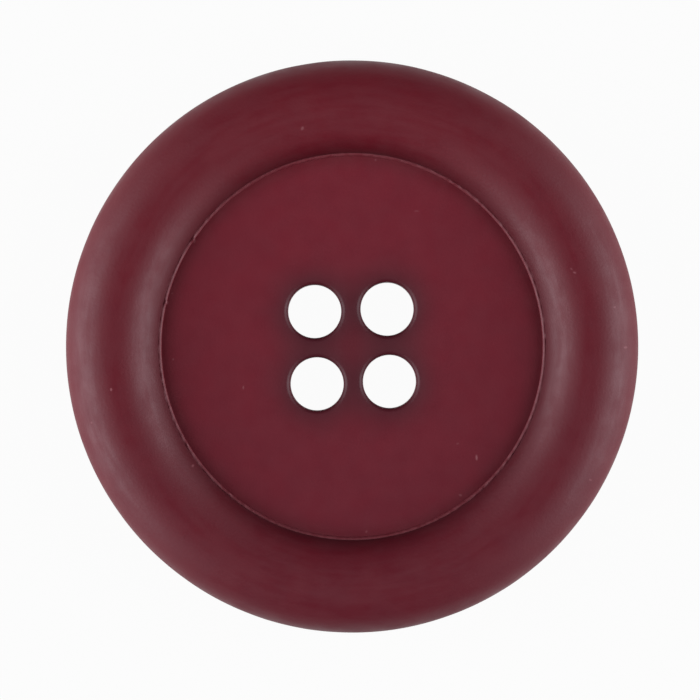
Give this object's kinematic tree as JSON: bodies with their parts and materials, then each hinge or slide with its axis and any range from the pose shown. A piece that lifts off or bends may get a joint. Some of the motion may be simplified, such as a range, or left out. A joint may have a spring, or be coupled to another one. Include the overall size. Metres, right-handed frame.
{
  "type": "sew-through button",
  "caption": "Round coat button in satin burgundy plastic, with a wide rounded rim, a flat sunken centre and a square of through holes for sewing it on.",
  "frame": {"origin": "centre of the flat back face, on the button's axis", "axes": "+Z along the button's axis, out through the face; X and Y along the sides of the square of sewing holes"},
  "size_m": [0.028, 0.028, 0.004],
  "materials": {
    "burgundy_plastic": "satin moulded polyester, dyed burgundy right through, slightly translucent"
  },
  "bodies": {
    "root": {"button": "burgundy_plastic"}
  },
  "joints": []
}
